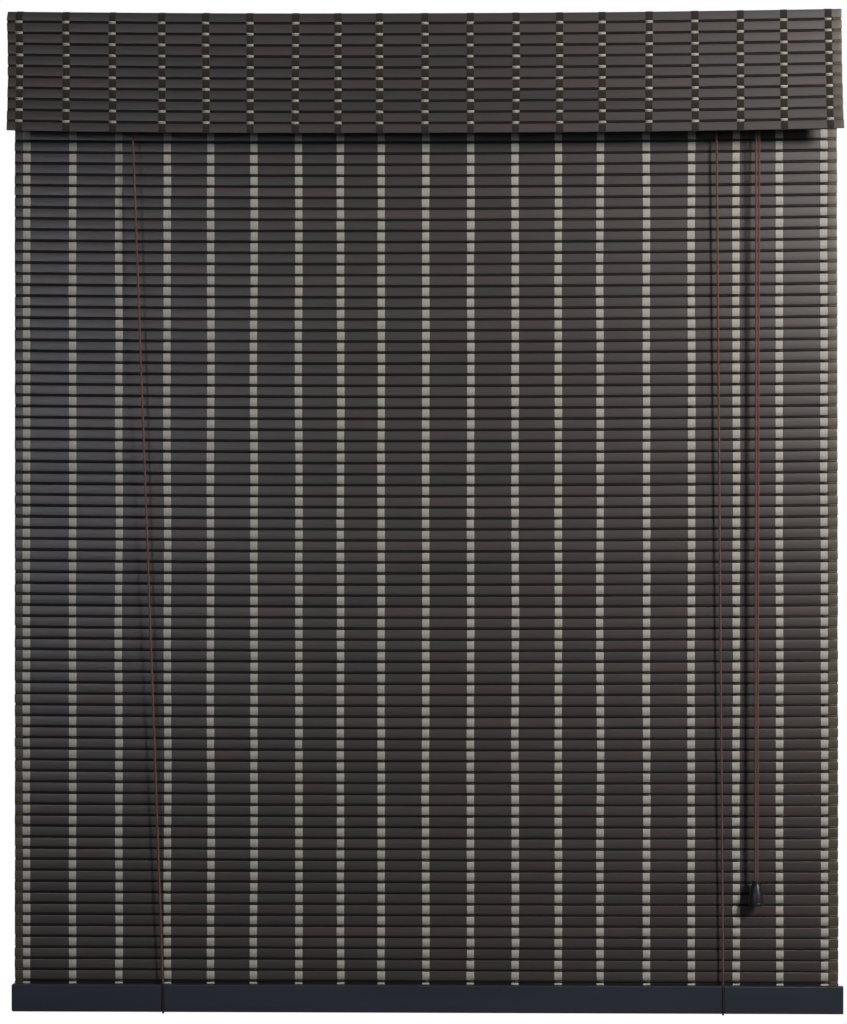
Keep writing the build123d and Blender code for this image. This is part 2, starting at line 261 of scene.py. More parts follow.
def slat_material():
    m = Mat("stained_bamboo")
    pos = m.attr("rest_pos").outputs["Vector"]
    tone = m.attr("tone").outputs["Fac"]
    edge = m.attr("edge").outputs["Fac"]
    patch = m.noise(pos, (9, 40, 75), 2, 0.55)
    col = m.ramp(patch, [(0.30, (0.0450, 0.0412, 0.0425)), (0.46, (0.0510, 0.0432, 0.0403)), (0.58, (0.0545, 0.0412, 0.0403)), (0.72, (0.0610, 0.0395, 0.0388))])
    grain = m.noise(pos, (22, 900, 1300), 5, 0.62)
    col = mix_rgba(m, 1.0, col, m.ramp(grain, [(0.30, (0.66, 0.66, 0.66)), (0.72, (1.18, 1.18, 1.18))]), "MULTIPLY")
    col = mix_rgba(m, 1.0, col, m.ramp(tone, [(0.0, (0.76, 0.76, 0.78)), (1.0, (1.22, 1.20, 1.18))]), "MULTIPLY")
    fleck = m.noise(pos, (120, 2500, 2500), 2, 0.5)
    col = mix_rgba(m, m.remap(fleck, 0.70, 0.78, 0.0, 0.30), col, (0.16, 0.13, 0.10))
    col = mix_rgba(m, m.math("MULTIPLY", edge, 0.50), col, (0.088, 0.068, 0.044))
    m.link(col, m.b.inputs["Base Color"])
    m.link(m.remap(grain, 0.25, 0.75, 0.46, 0.36), m.b.inputs["Roughness"])
    m.b.inputs["Specular IOR Level"].default_value = 0.76
    m.bump(grain, 0.00010, 0.45)
    return m.m


def rod_material():
    m = Mat("stained_rod_gap_shade")
    pos = m.attr("rest_pos").outputs["Vector"]
    edge = m.attr("edge").outputs["Fac"]
    tone = m.attr("tone").outputs["Fac"]
    grain = m.noise(pos, (30, 1200, 1200), 4, 0.6)
    # The rods' near-black colour is partly their dark stain and partly painted shade of the narrow gaps between the
    # slats.
    col = m.ramp(grain, [(0.3, (0.0045, 0.004, 0.004)), (0.7, (0.011, 0.0095, 0.009))])
    col = mix_rgba(m, 1.0, col, m.ramp(tone, [(0.0, (0.7, 0.7, 0.7)), (1.0, (1.5, 1.42, 1.35))]), "MULTIPLY")
    col = mix_rgba(m, m.math("MULTIPLY", edge, 0.60), col, (0.150, 0.118, 0.062))
    m.link(col, m.b.inputs["Base Color"])
    m.link(m.remap(grain, 0.25, 0.75, 0.66, 0.52), m.b.inputs["Roughness"])
    m.b.inputs["Specular IOR Level"].default_value = 0.22
    m.bump(grain, 0.0001, 0.5)
    return m.m


def yarn_material(name, dark, mid, light, bump_d):
    """Flat tape of spun yarn: threads along the tape, with twist and small hairs, and painted shade in the valleys
    between its strands and at its edges.
    """
    m = Mat(name)
    pos = m.attr("rest_pos").outputs["Vector"]
    strand_shade = m.attr("strand_shade").outputs["Fac"]
    s = m.sep(pos)
    thread = m.math("SINE", m.math("MULTIPLY", s["X"], 2 * math.pi / 0.00070))
    thread01 = m.remap(thread, -1, 1, 0, 1)
    fibre = m.noise(pos, (2400, 900, 900), 3, 0.6)
    soft = m.noise(pos, (260, 40, 90), 2, 0.5)
    f = m.math("ADD", m.math("MULTIPLY", thread01, 0.22), m.math("MULTIPLY", fibre, 0.55))
    f = m.math("ADD", f, m.math("MULTIPLY", soft, 0.25))
    col = m.ramp(f, [(0.25, dark), (0.5, mid), (0.8, light)])
    # Painted shade: the colour darkens to 70% in the valleys between the tape's strands and at its edges.
    col = mix_rgba(m, 1.0, col, m.ramp(strand_shade, [(0.0, (0.70, 0.69, 0.68)), (0.7, (1.0, 1.0, 1.0))]), "MULTIPLY")
    m.link(col, m.b.inputs["Base Color"])
    m.set(Roughness=0.86)
    m.b.inputs["Sheen Weight"].default_value = 0.25
    m.b.inputs["Sheen Roughness"].default_value = 0.5
    m.b.inputs["Specular IOR Level"].default_value = 0.25
    m.bump(f, bump_d, 0.7)
    return m.m


def cord_material(name="braided_cord", shade=1.0):
    m = Mat(name)
    v = m.sep(m.attr("braid").outputs["Vector"])
    ang = m.math("ARCTAN2", v["Z"], v["Y"])
    run = m.math("MULTIPLY", v["X"], 2 * math.pi / 0.0032)
    a = m.math("SINE", m.math("ADD", run, m.math("MULTIPLY", ang, 4.0)))
    b = m.math("SINE", m.math("SUBTRACT", run, m.math("MULTIPLY", ang, 4.0)))
    h = m.remap(m.math("MAXIMUM", a, b), -0.6, 1.0, 0.0, 1.0)
    hair = m.noise(m.attr("braid").outputs["Vector"], (1500, 6, 6), 3, 0.6)
    # Painted shade: the braid's colour darkens from its crests into the grooves between them; the hairs vary it at
    # random.
    col = m.ramp(m.math("ADD", m.math("MULTIPLY", h, 0.7), m.math("MULTIPLY", hair, 0.3)),
                 [(0.15, (0.050, 0.014, 0.015)), (0.55, (0.130, 0.043, 0.045)), (0.95, (0.215, 0.088, 0.088))])
    if shade != 1.0:
        col = mix_rgba(m, 1.0, col, (shade, shade, shade * 1.3), "MULTIPLY")
    m.link(col, m.b.inputs["Base Color"])
    m.set(Roughness=0.7)
    m.b.inputs["Sheen Weight"].default_value = 0.3
    m.b.inputs["Specular IOR Level"].default_value = 0.35
    m.bump(h, 0.00018, 0.8)
    return m.m


def paint_material():
    m = Mat("satin_slate_paint")
    obj = m.n("ShaderNodeTexCoord").outputs["Object"]
    peel = m.noise(obj, (420, 420, 420), 2, 0.5)
    cloud = m.noise(obj, (4, 30, 30), 3, 0.5)
    brush = m.noise(obj, (12, 900, 900), 3, 0.6)
    col = m.ramp(m.math("ADD", m.math("MULTIPLY", cloud, 0.7), m.math("MULTIPLY", brush, 0.3)),
                 [(0.3, (0.0210, 0.0275, 0.0410)), (0.7, (0.0283, 0.0360, 0.0510))])
    m.link(col, m.b.inputs["Base Color"])
    m.link(m.remap(cloud, 0.3, 0.7, 0.40, 0.50), m.b.inputs["Roughness"])
    m.bump(m.math("ADD", m.math("MULTIPLY", peel, 0.6), m.math("MULTIPLY", brush, 0.4)), 0.00006, 0.5)
    return m.m


def tassel_material():
    m = Mat("gloss_black_plastic")
    obj = m.n("ShaderNodeTexCoord").outputs["Object"]
    smudge = m.noise(obj, (90, 90, 60), 3, 0.55)
    m.link(m.ramp(smudge, [(0.3, (0.011, 0.010, 0.014)), (0.7, (0.020, 0.018, 0.025))]), m.b.inputs["Base Color"])
    m.link(m.remap(smudge, 0.3, 0.7, 0.30, 0.40), m.b.inputs["Roughness"])
    m.bump(smudge, 0.00008, 0.35)
    return m.m


def steel_material(name, lo, hi, r0, r1, stretch=(60, 900, 900)):
    m = Mat(name)
    obj = m.n("ShaderNodeTexCoord").outputs["Object"]
    brush = m.noise(obj, stretch, 4, 0.6)
    cloud = m.noise(obj, (120, 120, 120), 3, 0.55)
    m.link(m.ramp(m.math("ADD", m.math("MULTIPLY", brush, 0.5), m.math("MULTIPLY", cloud, 0.5)), [(0.3, lo), (0.7, hi)]), m.b.inputs["Base Color"])
    m.set(Metallic=1.0)
    m.link(m.remap(cloud, 0.3, 0.7, r0, r1), m.b.inputs["Roughness"])
    m.bump(brush, 0.00003, 0.6)
    return m.m


def nylon_material():
    m = Mat("moulded_nylon")
    obj = m.n("ShaderNodeTexCoord").outputs["Object"]
    cloud = m.noise(obj, (200, 200, 200), 3, 0.5)
    m.link(m.ramp(cloud, [(0.3, (0.66, 0.64, 0.58)), (0.7, (0.76, 0.74, 0.69))]), m.b.inputs["Base Color"])
    m.link(m.remap(cloud, 0.3, 0.7, 0.38, 0.5), m.b.inputs["Roughness"])
    m.b.inputs["Subsurface Weight"].default_value = 0.0
    m.bump(cloud, 0.00004, 0.5)
    return m.m


def timber_material():
    m = Mat("stained_softwood")
    obj = m.n("ShaderNodeTexCoord").outputs["Object"]
    rings = m.noise(obj, (3, 90, 90), 4, 0.6)
    pores = m.noise(obj, (60, 1500, 1500), 3, 0.6)
    f = m.math("ADD", m.math("MULTIPLY", rings, 0.75), m.math("MULTIPLY", pores, 0.25))
    m.link(m.ramp(f, [(0.32, (0.050, 0.032, 0.022)), (0.5, (0.085, 0.056, 0.038)), (0.68, (0.120, 0.082, 0.056))]), m.b.inputs["Base Color"])
    m.link(m.remap(pores, 0.3, 0.7, 0.62, 0.5), m.b.inputs["Roughness"])
    m.bump(f, 0.0002, 0.5)
    return m.m


M_SLAT, M_ROD = slat_material(), rod_material()
M_LIGHT = yarn_material("yarn_grey_beige", (0.30, 0.285, 0.255), (0.43, 0.415, 0.38), (0.55, 0.535, 0.50), 0.00025)
M_DARK = yarn_material("yarn_dark_olive", (0.014, 0.0108, 0.008), (0.025, 0.0198, 0.0155), (0.040, 0.032, 0.026), 0.00025)
M_CORD, M_PAINT, M_TASSEL = cord_material(), paint_material(), tassel_material()
# The cord that wraps the hem is darkened to 14%: painted shade for the cord sunk in the bottom bar's groove.
M_CORD_GROOVE_SHADE = cord_material("braided_cord_groove_shade", 0.14)
M_ZINC = steel_material("zinc_plate", (0.50, 0.50, 0.49), (0.68, 0.68, 0.66), 0.26, 0.42)
M_PIN = steel_material("bright_pin_steel", (0.46, 0.46, 0.47), (0.62, 0.62, 0.63), 0.18, 0.32)
M_NYLON, M_TIMBER = nylon_material(), timber_material()

# ------------------------------------------------------------------ free cords
Z_LOCK = -42.02
PULLS = {
    "pull_cord_left": [(395.0, -17.0, -42.02), (395.0, -16.7, -56.0), (392.7, -15.35, -95.0), (393.1, -14.3, -205.0), (391.85, -14.0, -996.5), (391.85, -14.0, -1018.78)],
    "pull_cord_right": [(395.0, -9.0, -42.02), (395.0, -9.5, -56.0), (397.3, -11.75, -95.0), (396.3, -13.5, -205.0), (394.35, -14.0, -996.5), (394.35, -14.0, -1018.78)],
}


def nurbs_points(name, pts):
    """The line of a NURBS spline with these control points, in metres."""
    cu = bpy.data.curves.new(name, "CURVE")
    cu.dimensions = "3D"
    sp = cu.splines.new("NURBS")
    sp.points.add(len(pts) - 1)
    for p, c in zip(sp.points, pts):
        p.co = (c[0] * MM, c[1] * MM, c[2] * MM, 1)
    sp.order_u = 3
    sp.use_endpoint_u = True
    sp.resolution_u = 24
    ob = bpy.data.objects.new(name, cu)
    scene.collection.objects.link(ob)
    me = bpy.data.meshes.new_from_object(ob)
    line = np.array([v.co for v in me.vertices], float)
    bpy.data.objects.remove(ob)
    return line


def knot_mesh(centre, size, r):
    """A small overhand knot, as a tube along a trefoil."""
    t = np.linspace(0, 2 * math.pi, 73)[:-1]
    x = (np.sin(t) + 2 * np.sin(2 * t)) / 3
    y = (np.cos(t) - 2 * np.cos(2 * t)) / 3
    z = -np.sin(3 * t) * 0.62
    P = np.stack([x, y, z], 1) * size + np.array(centre)
    P = np.vstack([P, P[:1]])
    return tube_mesh(P, r, 10, caps=False)


v, f, al, ar = knot_mesh((TASSEL_X, TASSEL_Y, TASSEL_TOP - 14.5), 3.0, 1.15)
knot = make_mesh("cord_end_knot", v, f, [M_CORD], attrs=cord_attrs(al, ar))
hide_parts("cord_knot")
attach(knot, "tassel_pull")


def lathe(profile, centre, sides=72):
    """Closed solid of revolution about Z; profile is a closed loop of (radius, z)."""
    pr = np.asarray(profile, float)
    a = np.arange(sides) * 2 * math.pi / sides
    ring = np.stack([pr[:, 0][:, None] * np.cos(a), pr[:, 0][:, None] * np.sin(a), np.repeat(pr[:, 1][:, None], sides, 1)], 2)
    verts = ring.reshape(-1, 3) + np.array(centre)
    n = len(pr)
    faces = []
    for i in range(n):
        i2 = (i + 1) % n
        for j in range(sides):
            k = (j + 1) % sides
            faces.append((i * sides + j, i2 * sides + j, i2 * sides + k, i * sides + k))
    return verts, faces


def smooth_profile(pts, per=5):
    """Catmull-Rom through the points of an open profile."""
    P = np.asarray(pts, float)
    Q = np.vstack([2 * P[0] - P[1], P, 2 * P[-1] - P[-2]])
    out = []
    for i in range(1, len(Q) - 2):
        for t in np.arange(per) / per:
            a, b, c, d = Q[i - 1], Q[i], Q[i + 1], Q[i + 2]
            out.append(0.5 * (2 * b + (c - a) * t + (2 * a - 5 * b + 4 * c - d) * t * t + (3 * b - a - 3 * c + d) * t ** 3))
    out.append(P[-1])
    return np.array(out)


outer = smooth_profile([(4.2, -0.05), (4.85, -0.35), (5.05, -1.0), (4.9, -1.7), (4.35, -2.3), (4.3, -3.0), (4.75, -4.4), (5.7, -7.0), (6.8, -10.8),
                        (7.8, -15.0), (8.6, -19.5), (9.1, -23.6), (9.15, -25.2), (8.95, -25.6), (9.15, -26.0), (9.2, -27.2), (8.95, -28.4), (8.6, -29.05), (8.3, -29.3)])
inner = smooth_profile([(7.9, -29.2), (7.65, -28.0), (7.7, -25.5), (7.3, -21.5), (6.4, -17.5), (5.2, -13.2), (4.6, -9.6), (4.0, -8.3), (2.75, -7.9)], 4)
bore = np.array([(2.72, -4.0), (2.72, -0.5), (2.95, -0.08)])
v, f = lathe(np.vstack([outer, inner, bore]), (TASSEL_X, TASSEL_Y, TASSEL_TOP))
tassel = make_mesh("bell_tassel", v, f, [M_TASSEL])
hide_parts("tassel")
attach(tassel, "tassel_pull")

for name, pts in PULLS.items():
    line = nurbs_points(name + "_line", pts)
    v, f, al, ar = tube_mesh(line / MM, CORD_R, 12)
    ob = make_mesh(name, v, f, [M_CORD], attrs=cord_attrs(al, ar))
    length = float(np.linalg.norm(np.diff(line, axis=0), axis=1).sum())
    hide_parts("pull_cords")
    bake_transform(ob)

# ------------------------------------------------------------------ the woven mat
FIELDS = ("rest_pos", "tone", "edge", "strand_shade", "braid", "side")


class Parts:
    """Collects vertices, faces, material slots and attributes of one piece."""

    def __init__(self):
        self.v, self.f, self.s, self.a = [], [], [], {k: [] for k in FIELDS}
        self.count = 0

    def add(self, verts, faces, slot, tone=0.5, edge=0.0, strand_shade=1.0, braid=None, side=0.0):
        n = len(verts)
        self.v.append(np.asarray(verts, float))
        self.f.extend([[i + self.count for i in face] for face in faces])
        self.s.extend([slot] * len(faces))
        self.a["rest_pos"].append(np.asarray(verts, float) * MM)
        for key, val in (("tone", tone), ("edge", edge), ("strand_shade", strand_shade), ("side", side)):
            self.a[key].append(np.broadcast_to(np.asarray(val, float), (n,)))
        self.a["braid"].append(np.zeros((n, 3)) if braid is None else braid)
        self.count += n

    def make(self, name, mats, deform):
        verts = deform(np.vstack(self.v))
        attrs = {k: np.concatenate(self.a[k]) for k in FIELDS}
        return make_mesh(name, verts, self.f, mats, self.s, attrs=attrs)


MAT_SLOTS = [M_SLAT, M_ROD, M_LIGHT, M_DARK, M_CORD]
SLAT, ROD, LIGHT, DARK, CORDS = range(5)


def sag(verts):
    """The long slats hang down a little in their middle, and the valance's lower corners stand out."""
    v = np.array(verts, float)
    x, y, z = v[:, 0], v[:, 1], v[:, 2].copy()
    u = np.clip(np.abs(x) / FABRIC_HALF, 0, 1)
    deep = np.interp(z, [-1136.0, -900.0, -500.0, -120.0, 13.0, 25.0], [0.0, 1.6, 2.8, 3.0, 0.6, 0.6])
    front = np.interp(z, [-125.0, 18.0], [3.0, 3.6])
    t = np.clip((Y_BACK - 6.0 - y) / 27.0, 0, 1)          # 0 at the hanging fabric, 1 at the valance
    t = np.where(z < -130, 0, t * t * (3 - 2 * t))
    v[:, 2] = z - (deep * (1 - t) + front * t) * (1 - u * u) + 0.8 * t
    g = np.clip((VALANCE_TOP - z) / 141.0, 0, 1)
    left = np.interp(z, [-124.0, -117.0, -95.0, -60.0, -20.0, 4.0, 12.0, 19.0], [1.3, 1.2, 1.3, 1.5, 1.0, -0.2, 0.0, 1.3])
    right = np.interp(z, [-124.0, -105.0, -60.0, -20.0, 19.0], [-1.4, -2.3, -2.7, -3.0, -3.6])
    back = np.interp(z, [-1136.0, -120.0], [0.0, -1.6])
    v[:, 0] = x + np.where(t > 0.9, np.where(x < 0, left, right), np.where(x < 0, 0, back)) * u ** 8
    v[:, 1] = y - np.where(t > 0.9, 7.0 * g * g * u ** 5, 0)
    return v


def same(verts):
    return np.asarray(verts, float)


def wave(n, size):
    """A slow random curve along x."""
    c = RNG.normal(0, 1, n)
    p = RNG.uniform(0, 2 * math.pi, n)
    c *= size / math.sqrt(n)
    return lambda x: sum(c[i] * np.sin((i + 1) * math.pi * x / FABRIC_HALF / 1.15 + p[i]) for i in range(n))


STATIONS = np.concatenate([[-493.0, -492.4, -487.0, -483.5, -481.0], np.linspace(-460, 460, 21), [481.0, 483.5, 487.0, 492.4, 493.0]])
SLAT_RING = np.array([(0.50, -5.175), (0.72, -4.95), (0.80, -4.40), (0.83, 0.0), (0.80, 4.40), (0.72, 4.95), (0.50, 5.175),
                      (-0.50, 5.175), (-0.72, 4.95), (-0.80, 4.40), (-0.80, -4.40), (-0.72, -4.95), (-0.50, -5.175)])


def place(x, n, s, centre, d):
    """Local coordinates of the mat to the world: s runs along the weave's path and n to its light side."""
    dy, dz = d
    return np.stack([x, centre[0] + s * dy + n * dz, centre[1] + s * dz - n * dy], -1)


def grid_faces(m, k, caps=True):
    faces = []
    for i in range(m - 1):
        for j in range(k):
            j2 = (j + 1) % k
            faces.append((i * k + j, (i + 1) * k + j, (i + 1) * k + j2, i * k + j2))
    if caps:
        faces.append(tuple(range(k)))
        faces.append(tuple((m - 1) * k + j for j in range(k))[::-1])
    return faces


def outward(verts, faces):
    """The same faces, turned outward by the sign of the volume they hold."""
    v = np.asarray(verts, float)
    vol = 0.0
    for f in faces:
        a = v[f[0]]
        for i in range(1, len(f) - 1):
            vol += np.dot(a - v[0], np.cross(v[f[i]] - v[0], v[f[i + 1]] - v[0]))
    return faces if vol > 0 else [tuple(f[::-1]) for f in faces]


def edge_mask(x, z, seed):
    right = np.clip((x - 481.5) / 2.0, 0, 1)
    left = np.clip((-x - 482.5) / 2.0, 0, 1) * (0.25 + 0.6 * np.clip((-z - 450) / 500, 0, 1))
    return np.clip(right * (0.75 + 0.25 * seed) + left * (0.6 + 0.4 * seed), 0, 1)


SLAT_FACES = ROD_FACES = None
ROD_X = np.concatenate([[-492.0, -487.0, -483.5, -481.0], np.linspace(-440, 440, 9), [481.0, 483.5, 487.0, 492.0]])


def add_slat(parts, centre, d, half=5.175, slot=0):
    global SLAT_FACES
    m, k = len(STATIONS), len(SLAT_RING)
    end_l, end_r = RNG.uniform(-0.25, 0.25, 2)
    x = STATIONS + np.where(STATIONS < -470, end_l, np.where(STATIONS > 470, end_r, 0))
    bow, shift, width = wave(3, 0.10), wave(3, 0.07), wave(4, 0.07)
    twist = wave(2, 0.010)
    inset = np.where((np.abs(STATIONS) > 492.8), 0.12, 0.0)
    X = np.repeat(x[:, None], k, 1)
    n0, s0 = SLAT_RING[:, 0][None, :], SLAT_RING[:, 1][None, :] * half / 5.175
    S = s0 * (1 + (width(x) / half - inset / half)[:, None]) + shift(x)[:, None]
    N = n0 * (1 - inset[:, None] * 0.6) + bow(x)[:, None] + s0 * twist(x)[:, None]
    verts = place(X, N, S, centre, d).reshape(-1, 3)
    if SLAT_FACES is None:
        SLAT_FACES = outward(verts, grid_faces(m, k))
    tone = np.clip(0.5 + RNG.normal(0, 0.22) + wave(4, 0.16)(x), 0, 1)
    edge = edge_mask(x, centre[1], RNG.uniform(0, 1))
    parts.add(verts, SLAT_FACES, slot, np.repeat(tone, k), np.repeat(edge, k))
    return lambda at: (float(bow(at)), float(twist(at)))


def add_rod(parts, centre, d, s_at, half_s=1.72):
    global ROD_FACES
    k = 10
    a = np.arange(k) * 2 * math.pi / k + math.pi / k
    x = ROD_X + np.where(np.abs(ROD_X) > 470, np.sign(ROD_X) * RNG.uniform(0.4, 1.0), 0)
    bow, thick = wave(3, 0.09), wave(4, 0.05)
    r = 1 + thick(x)[:, None]
    N = 0.90 * np.sin(a)[None, :] * r + 0.2 * np.tanh(bow(x) / 0.2)[:, None]
    S = half_s * np.cos(a)[None, :] * np.ones_like(r) + s_at
    verts = place(np.repeat(x[:, None], k, 1), N, S, centre, d).reshape(-1, 3)
    if ROD_FACES is None:
        ROD_FACES = outward(verts, grid_faces(len(x), k))
    tone = np.clip(RNG.beta(1.4, 3.0) + wave(3, 0.12)(x), 0, 1)
    edge = edge_mask(x, centre[1], 1.0)
    parts.add(verts, ROD_FACES, ROD, np.repeat(tone, k), np.repeat(edge, k))


HALF_PATH = [(6.624, -1.34), (5.42, -1.27), (5.05, -0.10), (4.70, 0.99)]
TAPE_PATH = np.array([(-s, n) for s, n in HALF_PATH] + [(0.0, 1.06)] + [(s, n) for s, n in HALF_PATH[::-1]])
TAPE_SIDES = [(-0.5, 0.03), (-0.333, 0.15), (-0.167, 0.08), (0.0, 0.15), (0.167, 0.08), (0.333, 0.15), (0.5, 0.03)]
TAPE_RING = np.array(TAPE_SIDES + [(0.0, -0.13)])
# Painted shade for each ring point of a tape: 1 on its ribs, lower in the valleys between them and at the edges.
TAPE_STRAND_SHADE = np.array([0.45, 1.0, 0.25, 1.0, 0.25, 1.0, 0.45, 0.9])
TAPE_EDGE = np.array([1.0, 0, 0, 0, 0, 0, 2.0, 0])
TAPE_FACES = {}


def strip(line, out, x0, width, taper=None):
    """A ribbed tape that follows line, points of (y, z), with its ribs on the side that out says (1 or -1)."""
    L = np.asarray(line, float)
    t = np.gradient(L, axis=0)
    t /= np.linalg.norm(t, axis=1)[:, None]
    nrm = np.stack([t[:, 1], -t[:, 0]], 1) * out
    k = len(TAPE_RING)
    X = x0 + TAPE_RING[:, 0][None, :] * width * (np.ones(len(L)) if taper is None else taper)[:, None]
    Y = L[:, 0][:, None] + nrm[:, 0][:, None] * TAPE_RING[:, 1][None, :]
    Z = L[:, 1][:, None] + nrm[:, 1][:, None] * TAPE_RING[:, 1][None, :]
    verts = np.stack([np.broadcast_to(X, Y.shape), Y, Z], -1).reshape(-1, 3)
    key = (len(L), out)
    if key not in TAPE_FACES:
        TAPE_FACES[key] = outward(verts, grid_faces(len(L), k))
    return verts, TAPE_FACES[key], np.tile(TAPE_STRAND_SHADE, len(L))


def tape_line(centre, d, pitch, light, first=None, last=None, lie=(0.0, 0.0)):
    """The path of a tape over its slat, lie being the slat's own bow and twist where the tape crosses it."""
    sign = 1.0 if light else -1.0
    pts = TAPE_PATH * np.array([pitch / 13.248, sign])
    pts[:, 1] += np.interp(np.abs(TAPE_PATH[:, 0]), [5.05, 5.42], [1.0, 0.0]) * (lie[0] + lie[1] * pts[:, 0])
    pts = pts[(pts[:, 0] >= (-99 if first is None else first)) & (pts[:, 0] <= (99 if last is None else last))]
    p = place(np.zeros(len(pts)), pts[:, 1], pts[:, 0], centre, d)
    return p[:, 1:]


TAPE_WANDER = [wave(6, 0.35) for _ in TAPES]


def add_tapes(parts, slat, centre, d, pitch=13.248, first=None, last=None):
    """All the light and dark tape segments of one slat."""
    run = centre[1] if d[1] else 60 + centre[0]
    for i, x0 in enumerate(TAPES):
        x = x0 + float(TAPE_WANDER[i](np.array(run * 0.8))) + RNG.normal(0, 0.10)
        for light, slot in ((True, LIGHT), (False, DARK)):
            line = tape_line(centre, d, pitch, light, first, last, slat(x))
            w = TAPE_W * RNG.uniform(0.93, 1.04)
            m = len(line)
            taper = 1 - 0.03 * np.abs(np.linspace(-1, 1, m)) ** 3
            verts, faces, strand_shade = strip(line, 1 if light else -1, x, w * (1.06 if light else 1.0), taper)
            parts.add(verts, faces, slot, np.full(len(verts), RNG.uniform(0.3, 0.7)), 0.0, strand_shade, side=np.tile(TAPE_EDGE, m))


def lift_x(z, top, hem):
    return top + (hem - top) * (4.0 - z) / 1144.0


def lift_y(z):
    t = np.clip((-1108.0 - z) / 26.0, 0, 1)
    return 4.65 + 4.0 * t * t * (3 - 2 * t)


def add_cord_run(parts, z0, z1):
    """The stretch of both lift cords behind this piece of the mat."""
    for top, hem in ((XL_TOP, XL_HEM), (XR_TOP, XR_HEM)):
        z = np.linspace(z0, z1, 4)
        P = np.stack([lift_x(z, top, hem), lift_y(z), z], 1)
        v, f, al, ar = tube_mesh(P, CORD_R, 10)
        br = np.stack([(al - z0) * MM, np.cos(2 * math.pi * ar), np.sin(2 * math.pi * ar)], 1)
        parts.add(v, outward(v, f), CORDS, braid=br)


DOWN, UP, BACKWARD = (0.0, -1.0), (0.0, 1.0), (1.0, 0.0)


def blend_w(ob):
    """Bakes the piece's transform into its mesh."""
    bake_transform(ob)


# Valance: the path runs up from its lower edge.
val = Parts()
for k in range(N_VALANCE):
    c = (Y_FRONT, 13.525 - VALANCE_PITCH * k)
    slat = add_slat(val, c, UP)
    if k < N_VALANCE - 1:
        add_rod(val, c, UP, -VALANCE_PITCH / 2)
    add_tapes(val, slat, c, UP, VALANCE_PITCH, first=-5.0 if k == N_VALANCE - 1 else None, last=5.0 if k == 0 else None)
zb = 13.525 - VALANCE_PITCH * (N_VALANCE - 1)
for i, x0 in enumerate(TAPES):            # the dark tape turns under the lowest slat at each tape line
    line = [(Y_FRONT - 1.05, zb - 4.2), (Y_FRONT - 0.85, zb - 5.1), (Y_FRONT, zb - 5.45), (Y_FRONT + 0.85, zb - 5.1), (Y_FRONT + 1.05, zb - 4.2)]
    line = [(y + slat(x0)[0], z) for y, z in line]
    v, f, st_shade = strip(line, 1, x0 + RNG.normal(0, 0.1), TAPE_W * 0.95)
    val.add(v, f, DARK, 0.5, 0.0, st_shade, side=np.tile(TAPE_EDGE, len(line)))
valance = val.make("valance_fabric", MAT_SLOTS, sag)
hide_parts("valance_slats")
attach(valance, "headrail_assembly")

# Over the headrail.
top = Parts()
for k, yc in enumerate((-24.35, -10.85)):
    slat = add_slat(top, (yc, Z_OVER), BACKWARD)
    if k == 0:
        add_rod(top, (yc, Z_OVER), BACKWARD, -6.75)
    add_rod(top, (yc, Z_OVER), BACKWARD, 6.75)
    add_tapes(top, slat, (yc, Z_OVER), BACKWARD, 13.5)
for x0 in TAPES:                          # round the headrail's front and back edges
    for slot, line in (
        (LIGHT, [(Y_FRONT + 1.04, 18.2), (Y_FRONT + 1.6, 19.2), (Y_FRONT + 3.0, 19.9), (-32.4, 20.05), (-31.1, 20.02)]),
        (DARK, [(Y_FRONT - 1.02, 18.0), (Y_FRONT - 0.75, 18.75), (Y_FRONT + 0.5, 19.05), (-34.8, 18.2), (-33.0, 17.1), (-31.1, 16.98)]),
        (LIGHT, [(-4.1, 20.02), (-2.4, 19.9), (-0.9, 19.6), (0.2, 18.9), (Y_BACK - 1.06, 17.6)]),
        (DARK, [(-4.1, 16.98), (-2.5, 17.4), (0.0, 18.55), (Y_BACK - 0.3, 19.35), (Y_BACK + 0.75, 18.9), (Y_BACK + 1.06, 17.6)]),
    ):
        v, f, st_shade = strip(line, -1, x0, TAPE_W * 0.95)
        top.add(v, f, slot, 0.5, 0.0, st_shade, side=np.tile(TAPE_EDGE, len(line)))
top_fabric = top.make("top_fabric", MAT_SLOTS, sag)
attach(top_fabric, "headrail_assembly")

# Fixed back slats: 16 that ride on the headrail, then one more made as its own piece.
upper = Parts()
for k in range(N_FIXED):
    c = (Y_BACK, PITCH - PITCH * k)
    slat = add_slat(upper, c, DOWN)
    add_rod(upper, c, DOWN, PITCH / 2)
    add_tapes(upper, slat, c, DOWN, first=-5.0 if k == 0 else None)
add_cord_run(upper, 4.0, PITCH - PITCH * (N_FIXED - 1) - PITCH / 2)
upper_fabric = upper.make("upper_fabric", MAT_SLOTS, sag)
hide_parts("upper_slats", "warp_light", "warp_dark")
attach(upper_fabric, "headrail_assembly")


def unit(name, zc, rods, deform=sag):
    p = Parts()
    slat = add_slat(p, (Y_BACK, zc), DOWN)
    for s_at in rods:
        add_rod(p, (Y_BACK, zc), DOWN, s_at)
    add_tapes(p, slat, (Y_BACK, zc), DOWN)
    add_cord_run(p, zc + PITCH / 2, zc - PITCH / 2)
    ob = p.make(name, MAT_SLOTS, deform)
    return ob


ob = unit("upper_fabric_last", PITCH - PITCH * N_FIXED, [])
blend_w(ob)
for i in range(1, N_LINKS + 1):
    z_h = Z_HINGE - 2 * PITCH * (i - 1)
    ob = unit("fabric_%02d_upper" % i, z_h - PITCH / 2, [-PITCH / 2, PITCH / 2])
    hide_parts("slats_%02d" % i)
    blend_w(ob)
    ob = unit("fabric_%02d_lower" % i, z_h - 1.5 * PITCH, [])
    blend_w(ob)

